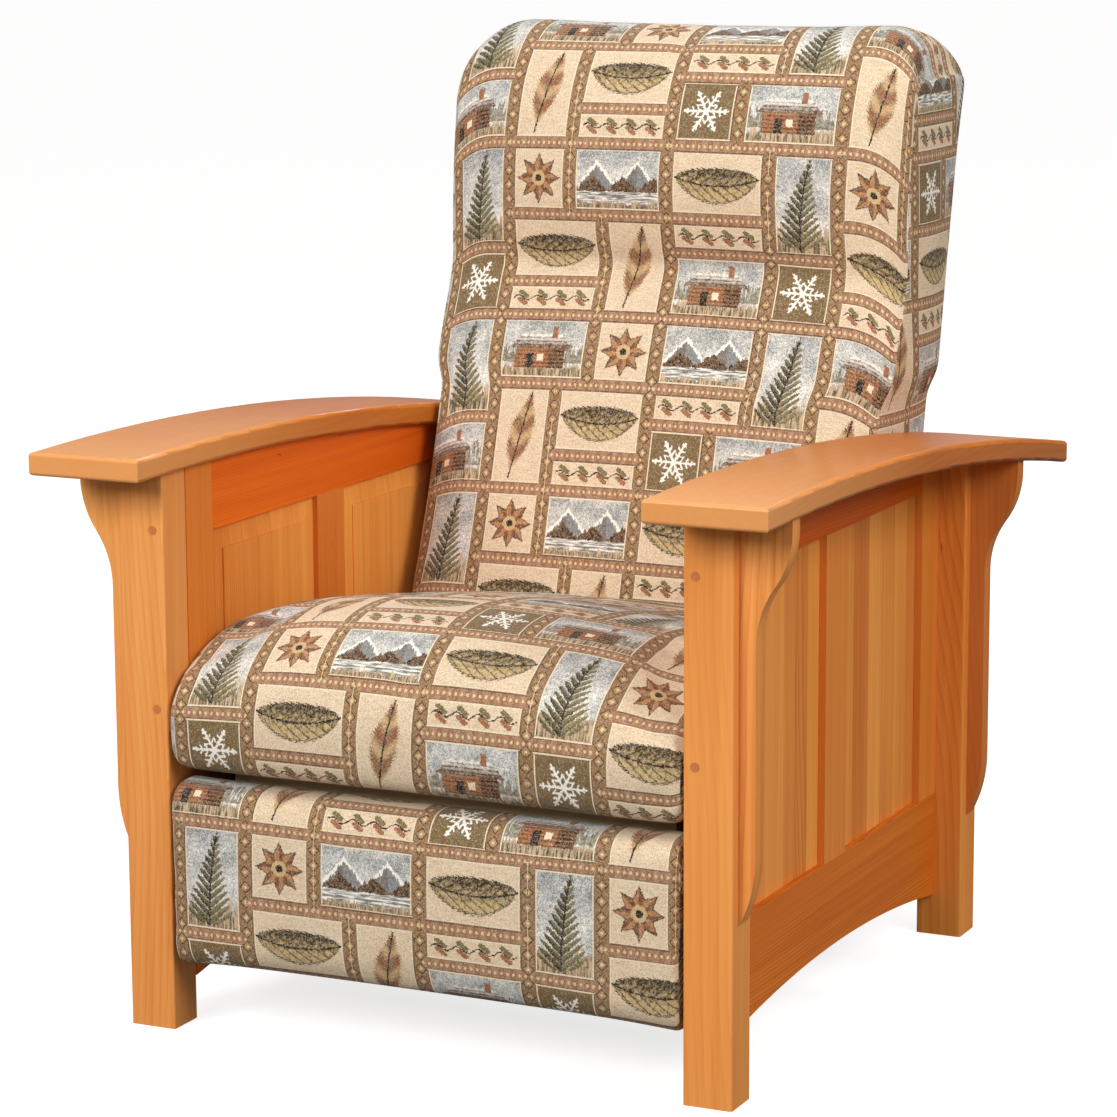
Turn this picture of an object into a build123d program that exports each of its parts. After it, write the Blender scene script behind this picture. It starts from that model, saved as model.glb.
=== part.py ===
"""Push-back recliner with bow arms and panelled cherry sides.

Millimetres. +X is to the right as seen from the front, -Y is the front, +Z is up.
The origin lies on the floor, at the middle of the outer box.
"""
from build123d import *
from math import atan, cos, degrees, radians, sin, sqrt
import os

os.makedirs("parts", exist_ok=True)

# Side frames
seat_opening = 575.0
leg_width = 52.0
leg_depth = 46.0
leg_gap = 610.0
leg_ease = 2.5
board_thickness = 20.0
stile_width = 52.0
centre_stile_width = 60.0
top_rail_bottom = 512.0
bottom_rail_top = 164.0
bottom_rail_foot = 46.0
bottom_rail_arch = 25.0
edge_ease = 1.5

# Raised panels, let into grooves of the stiles and rails
tongue_thickness = 6.0
tongue_setback = 6.0
tongue_reach = 8.0
groove_clearance = 0.3
panel_margin = 24.0
panel_bevel = 2.8
panel_step = 1.4

# Bow arms
arm_length = 882.0
arm_width = 128.0
arm_thickness = 24.0
arm_inner_overhang = 13.5
arm_front_overhang = 67.0
arm_under_radius = 4400.0
arm_peak_height = 587.0
arm_peak_setback = 50.0
arm_round = 4.0

# Corbels under the arms
corbel_thickness = 19.0
corbel_top = 54.0
corbel_waist = 18.0
corbel_length = 402.0
corbel_lip = 13.0
corbel_flare = 125.0
corbel_tail = 67.0
corbel_tip = 2.0

# Wooden pegs in the front legs
peg_radius = 4.75
peg_depth = 22.0
peg_proud = 0.4
peg_clearance = 0.05
peg_inset = 12.5
peg_low = 340.0
peg_high = 526.0

# Rear stretcher and the steel base of the mechanism
stretcher_thickness = 20.0
stretcher_height = 70.0
stretcher_bottom = 78.0
base_plate_thickness = 4.0
base_plate_front = 170.0
base_plate_rear = 520.0
base_plate_bottom = 62.0
base_plate_height = 76.0
base_plate_corner = 10.0
base_tube_side = 22.0
base_tube_wall = 2.0
base_tube_bottom = 62.5
base_tube_setbacks = (300.0, 480.0)

# Seat box and deck
box_half_width = 250.0
box_rail_thickness = 22.0
box_bottom = 214.0
box_height = 60.7
box_front = 70.0
box_rear = 494.0
strap_width = 50.0
strap_thickness = 2.0
strap_count = 6

# Seat carriers: two parallel arms on each side
carrier_length = 133.4
carrier_swing = 26.0
carrier_foot = 95.0
carrier_setbacks = (225.0, 445.0)
carrier_width = 22.0
carrier_plane = 272.0

# Footrest scissor
link_half = 82.0
link_tilt = 3.0
link_closed = 6.0
link_open = 84.0
link_width = 16.0
link_thickness = 4.0
link_gap = 1.0
link_root_setback = 125.0
link_root_height = 258.0
stud_radius = 3.5
stud_clearance = 0.1
open_clearance = 0.5
stud_head = 2.0
slot_run = 5.0

# Side plates of the seat, which carry the scissor, the carriers and the back
plate_thickness = 4.0
plate_bottom = 212.0
plate_height = 60.0
plate_front = 96.0
plate_tongue_rear = 150.0
plate_tongue_bottom = 80.0
hinge_setback = 600.0
hinge_height = 290.0
ear_radius = 12.0
ear_neck = 40.0

# Footrest
footrest_half_width = 284.5
footrest_bottom = 70.0
footrest_top = 266.0
footrest_front = -6.0
pad_thickness = 52.0
pad_corner = 14.0
pad_crown = 6.0
pad_end_round = 9.0
pad_station_shares = (-1, -0.5, 0, 0.5, 1)
footrest_board_thickness = 16.0
footrest_board_inset = 15.0
bracket_flange = 26.0
bracket_height = 82.0

# Seat cushion; every setback is measured from the front faces of the front legs
seat_half_width = 284.5
seat_side_drawn = 3.0
seat_corner = 16.0
seat_nose_setback = -13.0
seat_nose_height = 332.0
seat_nose_drawn = 8.0
seat_shoulder_setback = 36.0
seat_shoulder_height = 414.0
seat_crown_setback = 118.0
seat_crown_height = 440.0
seat_slope_setback = 205.0
seat_slope_height = 436.0
seat_waist_setback = 346.0
seat_waist_height = 411.0
seat_rear_setback = 483.0
seat_rear_height = 388.0
seat_rear_foot_setback = 448.0
seat_edge_drop = 30.0
seat_rear_drop = 18.0
seat_waist_share = 0.8
seat_station_shares = (-1, -0.9, -0.7, -0.4, 0, 0.4, 0.7, 0.9, 1)

# Back cushion
back_lean = 12.0
back_half_width = 272.5
back_side_drawn = 3.0
back_bottom = 306.0
back_foot_setback = 469.0
back_lumbar_setback = 545.0
back_crease_setback = 620.0
back_pillow_height = 193.0
back_head_setback = 629.0
back_brow_setback = 642.0
back_brow_drop = 75.0
back_crown = 13.0
back_top_setback = 722.0
back_top_height = 1010.0
back_heel_drop = 52.0
back_rear_foot_setback = 674.0
back_corner = 68.0
back_station_shares = (-1, -0.85, -0.6, -0.3, 0, 0.3, 0.6, 0.85, 1)

# Back frame, inside the cushion
post_thickness = 19.0
post_depth = 94.0
post_half_width = 245.0
post_bottom = 6.0
post_headroom = 95.0
post_taper = 24.0
post_taper_length = 245.0
back_rail_height = 60.0
back_panel_thickness = 6.0
hinge_plate_reach = 120.0
hinge_plate_width = 40.0

cloth_gap = 0.3
overrun = 60.0

# Places worked out from the sizes above
front = -arm_length / 2 + arm_front_overhang
rear_leg = front + leg_depth + leg_gap
inner = seat_opening / 2
leg_face = inner + leg_width
arm_peak = front + arm_peak_setback
arm_centre_height = arm_peak_height - arm_under_radius
panel_front = front + leg_depth + stile_width
panel_rear = rear_leg - stile_width
centre_front = (panel_front + panel_rear - centre_stile_width) / 2
centre_rear = centre_front + centre_stile_width


def arm_under(y):
    """Height of the arm's underside at a depth y."""
    return arm_centre_height + sqrt(arm_under_radius**2 - (y - arm_peak)**2)


def finish(builder, name):
    """Label a piece and write it."""
    builder.part.label = name
    export_step(builder.part, "parts/" + name + ".step")


def finish_pair(builder, name):
    """Write the right-hand piece and its mirror image on the left."""
    finish(builder, "right_" + name)
    with BuildPart() as mirrored:
        mirror(builder.part, about=Plane.YZ)
    finish(mirrored, "left_" + name)


def side_board(x, y0, y1, z0, z1, thickness=board_thickness):
    """Flat board that stands along the side, from x outwards."""
    with BuildPart() as board:
        with BuildSketch(Plane.YZ.offset(x)):
            with Locations(((y0 + y1) / 2, (z0 + z1) / 2)):
                Rectangle(y1 - y0, z1 - z0)
        extrude(amount=thickness)
    return board


def trim_under_arm():
    """Cut the piece in hand to the curve of the arm's underside."""
    with BuildSketch(Plane.YZ, mode=Mode.PRIVATE) as under:
        with Locations((arm_peak, arm_centre_height)):
            Circle(arm_under_radius)
    extrude(under.sketch, amount=leg_face + arm_width, both=True, mode=Mode.INTERSECT)


def cut_groove(y0, y1, z0, z1):
    """Groove for a panel's tongue, cut in the board in hand."""
    width = tongue_thickness + 2 * groove_clearance
    with Locations((inner + tongue_setback + tongue_thickness / 2, (y0 + y1) / 2, (z0 + z1) / 2)):
        Box(width, y1 - y0, z1 - z0, mode=Mode.SUBTRACT)


# Legs
def leg(y):
    """Square leg whose top follows the arm's underside."""
    with BuildPart() as post:
        with BuildSketch():
            with Locations((inner + leg_width / 2, y + leg_depth / 2)):
                Rectangle(leg_width, leg_depth)
        extrude(amount=arm_peak_height + overrun)
        fillet(post.edges().filter_by(Axis.Z), leg_ease)
        trim_under_arm()
    return post


peg_places = [(inner + peg_inset, peg_low), (inner + peg_inset, peg_high)]
with BuildPart() as front_leg:
    add(leg(front).part)
    with BuildSketch(Plane.XZ.offset(-front)):
        with Locations(*peg_places):
            Circle(peg_radius + peg_clearance)
    extrude(amount=-peg_depth - peg_clearance, mode=Mode.SUBTRACT)
finish_pair(front_leg, "front_leg")
finish_pair(leg(rear_leg), "rear_leg")

with BuildPart() as pegs:
    with BuildSketch(Plane.XZ.offset(-front + peg_proud)):
        with Locations(*peg_places):
            Circle(peg_radius)
    extrude(amount=-peg_depth - peg_proud)
    mirror(about=Plane.YZ)
finish(pegs, "leg_pegs")


# Bow arms
with BuildPart() as arm:
    with BuildSketch(Plane.YZ.offset(inner - arm_inner_overhang)):
        with Locations((arm_peak, arm_centre_height)):
            Circle(arm_under_radius + arm_thickness)
            Circle(arm_under_radius, mode=Mode.SUBTRACT)
        with Locations((0, arm_peak_height)):
            Rectangle(arm_length, 2 * (arm_peak_height - top_rail_bottom), mode=Mode.INTERSECT)
    extrude(amount=arm_width)
    fillet([edge for edge in arm.edges() if edge.length > 2 * arm_thickness], arm_round)
finish_pair(arm, "arm")


# Panelled sides: stiles, rails and raised panels
groove_reach = tongue_reach + groove_clearance
groove_low = bottom_rail_top - groove_reach
groove_high = top_rail_bottom + groove_reach

with BuildPart() as front_stile:
    add(side_board(inner, front + leg_depth, panel_front, bottom_rail_top, arm_peak_height + overrun).part)
    cut_groove(panel_front - groove_reach, panel_front + overrun, groove_low, groove_high)
    trim_under_arm()
finish_pair(front_stile, "front_stile")

with BuildPart() as rear_stile:
    add(side_board(inner, panel_rear, rear_leg, bottom_rail_top, arm_peak_height + overrun).part)
    cut_groove(panel_rear - overrun, panel_rear + groove_reach, groove_low, groove_high)
    trim_under_arm()
finish_pair(rear_stile, "rear_stile")

with BuildPart() as centre_stile:
    add(side_board(inner, centre_front, centre_rear, bottom_rail_top, top_rail_bottom).part)
    cut_groove(centre_front - overrun, centre_front + groove_reach, groove_low, groove_high)
    cut_groove(centre_rear - groove_reach, centre_rear + overrun, groove_low, groove_high)
finish_pair(centre_stile, "centre_stile")

with BuildPart() as top_rail:
    add(side_board(inner, panel_front, panel_rear, top_rail_bottom, arm_peak_height + overrun).part)
    cut_groove(panel_front - overrun, centre_front + groove_reach, top_rail_bottom - overrun, groove_high)
    cut_groove(centre_rear - groove_reach, panel_rear + overrun, top_rail_bottom - overrun, groove_high)
    trim_under_arm()
finish_pair(top_rail, "top_rail")

with BuildPart() as bottom_rail:
    with BuildSketch(Plane.YZ.offset(inner)):
        with BuildLine():
            foot_front = (front + leg_depth, bottom_rail_foot)
            foot_rear = (rear_leg, bottom_rail_foot)
            arch_top = ((foot_front[0] + foot_rear[0]) / 2, bottom_rail_foot + bottom_rail_arch)
            ThreePointArc(foot_front, arch_top, foot_rear)
            Polyline(foot_rear, (rear_leg, bottom_rail_top), (foot_front[0], bottom_rail_top), foot_front)
        make_face()
    extrude(amount=board_thickness)
    cut_groove(panel_front - groove_reach, centre_front + groove_reach, groove_low, bottom_rail_top + overrun)
    cut_groove(centre_rear - groove_reach, panel_rear + groove_reach, groove_low, bottom_rail_top + overrun)
finish_pair(bottom_rail, "bottom_rail")


def raised_panel(y0, y1):
    """Glued-up panel: flat outside, bevelled to a raised field inside."""
    y_mid = (y0 + y1) / 2
    z_mid = (bottom_rail_top + top_rail_bottom) / 2
    width = y1 - y0
    height = top_rail_bottom - bottom_rail_top
    tongue_face = inner + tongue_setback
    with BuildPart() as panel:
        with BuildSketch(Plane.YZ.offset(tongue_face)):
            with Locations((y_mid, z_mid)):
                Rectangle(width + 2 * tongue_reach, height + 2 * tongue_reach)
        extrude(amount=tongue_thickness)
        slack = 2 * groove_clearance
        with BuildSketch(Plane.YZ.offset(tongue_face)):
            with Locations((y_mid, z_mid)):
                Rectangle(width - slack, height - slack)
        with BuildSketch(Plane.YZ.offset(tongue_face - panel_bevel)):
            with Locations((y_mid, z_mid)):
                Rectangle(width - 2 * panel_margin, height - 2 * panel_margin)
        loft()
        with BuildSketch(Plane.YZ.offset(tongue_face - panel_bevel)):
            with Locations((y_mid, z_mid)):
                Rectangle(width - 2 * panel_margin, height - 2 * panel_margin)
        extrude(amount=-panel_step)
    return panel


finish_pair(raised_panel(panel_front, centre_front), "front_panel")
finish_pair(raised_panel(centre_rear, panel_rear), "rear_panel")


# Corbels
def corbel(y):
    """Bracket board on the leg's outer face: lip, S-curve, waist and rounded tail."""
    top = arm_under(y + leg_depth / 2)
    waist_x = leg_face + corbel_waist
    top_x = leg_face + corbel_top
    tip = top - corbel_length
    with BuildPart() as bracket:
        with BuildSketch(Plane.XZ.offset(-y - (leg_depth - corbel_thickness) / 2)):
            with BuildLine():
                lip = (top_x, top - corbel_lip)
                waist = (waist_x, top - corbel_flare)
                middle = ((top_x + waist_x) / 2, (lip[1] + waist[1]) / 2)
                tail = (waist_x, tip + corbel_tail)
                Polyline((leg_face, tip), (leg_face, top + overrun), (top_x, top + overrun), lip)
                TangentArc(lip, middle, tangent=(0, -1))
                TangentArc(waist, middle, tangent=(0, 1))
                Line(waist, tail)
                TangentArc(tail, (leg_face + corbel_tip, tip), tangent=(0, -1))
                Line((leg_face + corbel_tip, tip), (leg_face, tip))
            make_face()
        extrude(amount=-corbel_thickness)
        trim_under_arm()
    return bracket


finish_pair(corbel(front), "front_corbel")
finish_pair(corbel(rear_leg), "rear_corbel")


# Rear stretcher between the rear legs
with BuildPart() as stretcher:
    stretcher_y = rear_leg + leg_depth / 2
    with Locations((0, stretcher_y, stretcher_bottom + stretcher_height / 2)):
        Box(seat_opening, stretcher_thickness, stretcher_height)
    fillet(stretcher.edges().filter_by(Axis.X), edge_ease)
finish(stretcher, "rear_stretcher")


# Steel base: a plate on each bottom rail, with the carriers' lower studs, and two square tubes
def stud(x0, x1, y, z, radius=stud_radius):
    """Round stud along X, added to the piece in hand."""
    with BuildSketch(Plane.YZ.offset(x0), mode=Mode.PRIVATE) as disc:
        with Locations((y, z)):
            Circle(radius)
    extrude(disc.sketch, amount=x1 - x0)


base_face = inner - base_plate_thickness
carrier_reach = carrier_length * sin(radians(carrier_swing / 2))
carrier_rise = carrier_length * cos(radians(carrier_swing / 2))
carrier_feet = [(front + setback, carrier_foot) for setback in carrier_setbacks]
carrier_heads = [(y + carrier_reach, z + carrier_rise) for y, z in carrier_feet]

with BuildPart() as base_plate:
    add(side_board(base_face, front + base_plate_front, front + base_plate_rear, base_plate_bottom,
                   base_plate_bottom + base_plate_height, base_plate_thickness).part)
    fillet(base_plate.edges().filter_by(Axis.X), base_plate_corner)
    for y, z in carrier_feet:
        stud(carrier_plane - stud_head, base_face, y, z)
finish_pair(base_plate, "base_plate")

with BuildPart() as base_tubes:
    with BuildSketch(Plane.YZ.offset(-base_face)):
        for setback in base_tube_setbacks:
            with Locations((front + setback, base_tube_bottom + base_tube_side / 2)):
                Rectangle(base_tube_side, base_tube_side)
                Rectangle(base_tube_side - 2 * base_tube_wall, base_tube_side - 2 * base_tube_wall,
                          mode=Mode.SUBTRACT)
    extrude(amount=2 * base_face)
finish(base_tubes, "base_tubes")


# Flat steel links
def link(x, start, end, width, holes, studs):
    """Flat bar with round ends between two pivots, its holes and its staked studs.

    holes: (y, z, radius); studs: (y, z, x0, x1)
    """
    run = Vector(*end) - Vector(*start)
    with BuildPart() as bar:
        with BuildSketch(Plane.YZ.offset(x)):
            with Locations(Vector(*start) + run / 2):
                SlotCenterToCenter(run.length, width, rotation=degrees(atan(run.Y / run.X)))
            for y, z, radius in holes:
                with Locations((y, z)):
                    Circle(radius, mode=Mode.SUBTRACT)
        extrude(amount=link_thickness)
        for y, z, x0, x1 in studs:
            stud(x0, x1, y, z)
    return bar


pivot_hole = stud_radius + stud_clearance
loose_hole = stud_radius + open_clearance

for place, foot, head in zip(("front", "rear"), carrier_feet, carrier_heads):
    head_hole = loose_hole if place == "front" else pivot_hole
    carrier = link(carrier_plane, foot, head, carrier_width, [(*foot, pivot_hole), (*head, head_hole)], [])
    finish_pair(carrier, place + "_carrier")


# Scissor geometry, closed: every link is at link_closed from the line square to the way out
along = (-cos(radians(link_tilt)), sin(radians(link_tilt)))
across = (-sin(radians(link_tilt)), -cos(radians(link_tilt)))


def scissor_point(out, down):
    """Point at a distance along the way out and across it, from the root pivot."""
    y = front + link_root_setback + out * along[0] + down * across[0]
    z = link_root_height + out * along[1] + down * across[1]
    return (y, z)


step = link_half * sin(radians(link_closed))
drop = link_half * cos(radians(link_closed))
root = scissor_point(0, 0)
a_mid = scissor_point(step, drop)
a_end = scissor_point(2 * step, 2 * drop)
c_start = scissor_point(0, 2 * drop)
c_end = scissor_point(2 * step, 0)
b_mid = scissor_point(3 * step, drop)
b_end = scissor_point(4 * step, 0)
d_end = scissor_point(4 * step, 2 * drop)
e_end = scissor_point(5 * step, drop)
slot_open = scissor_point(0, 2 * link_half * cos(radians(link_open)))

plate_face = box_half_width + plate_thickness
near_plane = plate_face + link_gap
far_plane = near_plane + link_thickness + link_gap
near_face = near_plane + link_thickness
far_face = far_plane + link_thickness
stud_end = far_face + stud_head

link_a = link(near_plane, root, a_end, link_width, [(*root, pivot_hole)],
              [(*a_mid, near_face, stud_end), (*a_end, near_face, stud_end)])
finish_pair(link_a, "scissor_link_a")
link_b = link(far_plane, a_end, b_end, link_width, [(*a_end, pivot_hole)],
              [(*b_mid, near_plane, far_plane), (*b_end, near_plane, far_plane)])
finish_pair(link_b, "scissor_link_b")
link_c = link(far_plane, c_start, c_end, link_width, [(*a_mid, pivot_hole)],
              [(*c_start, box_half_width + link_gap, far_plane), (*c_end, near_plane, far_plane)])
finish_pair(link_c, "scissor_link_c")
link_d = link(near_plane, c_end, d_end, link_width, [(*c_end, pivot_hole), (*b_mid, loose_hole)],
              [(*d_end, near_face, stud_end)])
finish_pair(link_d, "scissor_link_d")
link_e = link(far_plane, d_end, e_end, link_width, [(*d_end, pivot_hole), (*e_end, loose_hole)], [])
finish_pair(link_e, "scissor_link_e")


# Side plates of the seat
plate_top = plate_bottom + plate_height
hinge = (front + hinge_setback, hinge_height)
with BuildPart() as side_plate:
    with BuildSketch(Plane.YZ.offset(box_half_width)):
        with BuildLine():
            plate_nose = front + plate_front
            tongue_rear = front + plate_tongue_rear
            rear_run = front + box_rear
            Polyline((plate_nose, plate_top), (plate_nose, plate_tongue_bottom),
                     (tongue_rear, plate_tongue_bottom), (tongue_rear, plate_bottom),
                     (rear_run, plate_bottom), (hinge[0], hinge[1] - ear_radius),
                     (hinge[0], hinge[1] + ear_radius), (hinge[0] - ear_neck, hinge[1] + ear_radius / 2),
                     (rear_run, plate_top), (plate_nose, plate_top))
        make_face()
        with Locations(hinge):
            Circle(ear_radius)
        slot_centre = ((slot_open[0] + c_start[0]) / 2, (slot_open[1] + c_start[1]) / 2)
        slot_travel = 2 * drop - 2 * link_half * cos(radians(link_open))
        with Locations(slot_centre):
            SlotOverall(slot_travel + 2 * loose_hole + slot_run, 2 * loose_hole, rotation=90 - link_tilt,
                        mode=Mode.SUBTRACT)
    extrude(amount=plate_thickness)
    stud(plate_face, near_face + link_gap / 2, *root)
    for head in carrier_heads:
        stud(plate_face, carrier_plane + link_thickness + stud_head, *head)
    stud(box_half_width - link_gap - plate_thickness - stud_head, box_half_width, *hinge)
finish_pair(side_plate, "side_plate")


# Footrest brackets: each is the last half link, with a web and a flange on the board's back
board_back = front + footrest_front + pad_thickness + footrest_board_thickness
bracket_low = e_end[1] - link_width / 2
with BuildPart() as bracket:
    add(link(near_plane, b_end, e_end, link_width, [(*b_end, pivot_hole)],
             [(*e_end, near_face, stud_end)]).part)
    with BuildSketch(Plane.YZ.offset(near_plane)):
        with BuildLine():
            bracket_high = bracket_low + bracket_height
            Polyline((board_back, bracket_low), (e_end[0], bracket_low), e_end,
                     (b_end[0] - link_width / 2, bracket_high), (board_back, bracket_high),
                     (board_back, bracket_low))
        make_face()
        with Locations(b_end):
            Circle(pivot_hole, mode=Mode.SUBTRACT)
    extrude(amount=link_thickness)
    with Locations((near_face - (bracket_flange + link_thickness) / 2, board_back + link_thickness / 2,
                    bracket_low + bracket_height / 2)):
        Box(bracket_flange + link_thickness, link_thickness, bracket_height)
finish_pair(bracket, "footrest_bracket")


# Footrest: a ply board with an upholstered pad over its front
board_front = board_back - footrest_board_thickness
board_bottom = footrest_bottom + footrest_board_inset
board_top = footrest_top - footrest_board_inset
with BuildPart() as footrest_board:
    with BuildSketch(Plane.XZ.offset(-board_front)):
        with Locations((0, (board_bottom + board_top) / 2)):
            Rectangle(2 * (footrest_half_width - footrest_board_inset), board_top - board_bottom)
    extrude(amount=-footrest_board_thickness)
    fillet(footrest_board.edges().filter_by(Axis.Y), edge_ease)
finish(footrest_board, "footrest_board")


def pad_section(x):
    """Side profile of the footrest pad at x, fullest in the middle."""
    crown = pad_crown * (1 - (x / footrest_half_width)**2 / 2)
    face = front + footrest_front + pad_crown
    slope = pad_corner * (1 - sqrt(0.5))
    top_start = (face + pad_corner, footrest_top)
    face_top = (face, footrest_top - pad_corner)
    face_bottom = (face, footrest_bottom + pad_corner)
    bottom_start = (face + pad_corner, footrest_bottom)
    with BuildSketch(Plane.YZ.offset(x)) as section:
        with BuildLine():
            Polyline(top_start, (board_front, footrest_top), (board_front, footrest_bottom), bottom_start)
            ThreePointArc(bottom_start, (face + slope, footrest_bottom + slope), face_bottom)
            ThreePointArc(face_bottom, (face - crown, (footrest_bottom + footrest_top) / 2), face_top)
            ThreePointArc(face_top, (face + slope, footrest_top - slope), top_start)
        make_face()
    return section.sketch


with BuildPart() as footrest_pad:
    loft([pad_section(footrest_half_width * share) for share in pad_station_shares], ruled=True)
    with BuildSketch():
        with Locations((0, board_front)):
            RectangleRounded(2 * footrest_half_width, 2 * pad_thickness, pad_end_round)
    extrude(amount=footrest_top + overrun, mode=Mode.INTERSECT)
finish(footrest_pad, "footrest_pad")


# Seat box and its elastic webbing
box_top = box_bottom + box_height
box_inner = box_half_width - box_rail_thickness
with BuildPart() as side_rail:
    add(side_board(box_inner, front + box_front, front + box_rear, box_bottom, box_top,
                   box_rail_thickness).part)
    fillet(side_rail.edges().filter_by(Axis.Y), edge_ease)
finish_pair(side_rail, "seat_side_rail")

with BuildPart() as cross_rails:
    for y in (front + box_front, front + box_rear - box_rail_thickness):
        with BuildSketch(Plane.YZ.offset(-box_inner)):
            with Locations((y + box_rail_thickness / 2, (box_bottom + box_top) / 2)):
                Rectangle(box_rail_thickness, box_height)
        extrude(amount=2 * box_inner)
finish(cross_rails, "seat_cross_rails")

with BuildPart() as webbing:
    strap_pitch = 2 * box_inner / strap_count
    with Locations((0, front + (box_front + box_rear) / 2, box_top + strap_thickness / 2)):
        with GridLocations(strap_pitch, strap_pitch, strap_count, 1):
            Box(strap_width, box_rear - box_front, strap_thickness)
finish(webbing, "seat_webbing")


# Seat cushion: full in the middle, lower and drawn in towards its ends
seat_bottom = box_top + strap_thickness + cloth_gap


def seat_section(x):
    """Side profile of the seat cushion at x."""
    out = (x / seat_half_width)**2
    nose = front + seat_nose_setback + seat_nose_drawn * out
    slope = seat_corner * (1 - sqrt(0.5))
    drop = seat_edge_drop * out
    toe = (nose + seat_nose_drawn / 2, seat_bottom + seat_corner)
    foot = (toe[0] + seat_corner, seat_bottom)
    shoulder = (front + seat_shoulder_setback, seat_shoulder_height - drop)
    slope_start = (front + seat_slope_setback, seat_slope_height - drop)
    waist = (front + seat_waist_setback, seat_waist_height - drop * seat_waist_share)
    rear_top = (front + seat_rear_setback, seat_rear_height - seat_rear_drop * out)
    with BuildSketch(Plane.YZ.offset(x)) as section:
        with BuildLine():
            ThreePointArc(foot, (toe[0] + slope, seat_bottom + slope), toe)
            ThreePointArc(toe, (nose, seat_nose_height), shoulder)
            ThreePointArc(shoulder, (front + seat_crown_setback, seat_crown_height - drop), slope_start)
            ThreePointArc(slope_start, waist, rear_top)
            Polyline(rear_top, (front + seat_rear_foot_setback, seat_bottom), foot)
        make_face()
    return section.sketch


with BuildPart() as seat_cushion:
    loft([seat_section(seat_half_width * share) for share in seat_station_shares], ruled=True)
    with BuildSketch():
        with BuildLine():
            low = front + seat_nose_setback - overrun
            high = front + seat_rear_setback + overrun
            middle = (low + high) / 2
            waist = seat_half_width - seat_side_drawn
            ThreePointArc((seat_half_width, low), (waist, middle), (seat_half_width, high))
            Line((seat_half_width, high), (-seat_half_width, high))
            ThreePointArc((-seat_half_width, high), (-waist, middle), (-seat_half_width, low))
            Line((-seat_half_width, low), (seat_half_width, low))
        make_face()
    extrude(amount=seat_crown_height + overrun, mode=Mode.INTERSECT)
finish(seat_cushion, "seat_cushion")


# Back: everything behind the cushion is laid out from its leaning rear plane
lean = radians(back_lean)
rear_foot = (front + back_rear_foot_setback, back_bottom)


def back_point(ahead, up):
    """Point at a distance ahead of the rear plane and up along it."""
    y = rear_foot[0] - ahead * cos(lean) + up * sin(lean)
    z = rear_foot[1] + ahead * sin(lean) + up * cos(lean)
    return (y, z)


def back_points(*corners):
    """Corners of an outline in a side plane, given as (ahead, up) pairs."""
    return [back_point(*corner) for corner in corners]


frame_rear = back_panel_thickness
frame_front = frame_rear + post_depth
post_top = (back_top_height - back_bottom) / cos(lean) - post_headroom
post_shoulder = post_top - post_taper_length
with BuildPart() as back_post:
    with BuildSketch(Plane.YZ.offset(post_half_width - post_thickness)):
        Polygon(*back_points((frame_rear, post_bottom), (frame_front, post_bottom),
                             (frame_front, post_shoulder), (frame_front - post_taper, post_top),
                             (frame_rear, post_top)), align=None)
    extrude(amount=post_thickness)
finish_pair(back_post, "back_post")

with BuildPart() as back_rails:
    rail_run = post_top - post_bottom - back_rail_height
    for level in (post_bottom, post_bottom + rail_run / 2, post_bottom + rail_run):
        rail_rear = frame_front - post_taper - post_thickness
        with BuildSketch(Plane.YZ.offset(post_thickness - post_half_width)):
            Polygon(*back_points((rail_rear, level), (rail_rear + post_thickness, level),
                                 (rail_rear + post_thickness, level + back_rail_height),
                                 (rail_rear, level + back_rail_height)), align=None)
        extrude(amount=2 * (post_half_width - post_thickness))
finish(back_rails, "back_rails")

pocket_half_width = box_half_width - cloth_gap
with BuildPart() as back_panel:
    with BuildSketch(Plane.YZ.offset(cloth_gap - pocket_half_width)):
        Polygon(*back_points((0, post_bottom), (frame_rear, post_bottom), (frame_rear, post_top),
                             (0, post_top)), align=None)
    extrude(amount=2 * (pocket_half_width - cloth_gap))
finish(back_panel, "back_panel")

with BuildPart() as hinge_plates:
    hinge_ahead = (rear_foot[0] - hinge[0]) * cos(lean) + (hinge[1] - rear_foot[1]) * sin(lean)
    hinge_up = (hinge[0] - rear_foot[0]) * sin(lean) + (hinge[1] - rear_foot[1]) * cos(lean)
    plate_end = back_point(hinge_ahead, hinge_up + hinge_plate_reach)
    with BuildSketch(Plane.YZ.offset(post_half_width)):
        with Locations(((hinge[0] + plate_end[0]) / 2, (hinge[1] + plate_end[1]) / 2)):
            SlotCenterToCenter(hinge_plate_reach, 2 * ear_radius, rotation=90 - back_lean)
        plate_rear = hinge_ahead - hinge_plate_width / 2
        plate_ahead = hinge_ahead + hinge_plate_width / 2
        plate_head = hinge_up + hinge_plate_reach
        Polygon(*back_points((plate_rear, post_bottom), (plate_ahead, post_bottom),
                             (plate_ahead, plate_head), (plate_rear, plate_head)), align=None)
        with Locations(hinge):
            Circle(pivot_hole, mode=Mode.SUBTRACT)
    extrude(amount=plate_thickness)
    mirror(about=Plane.YZ)
finish(hinge_plates, "back_hinge_plates")


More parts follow.
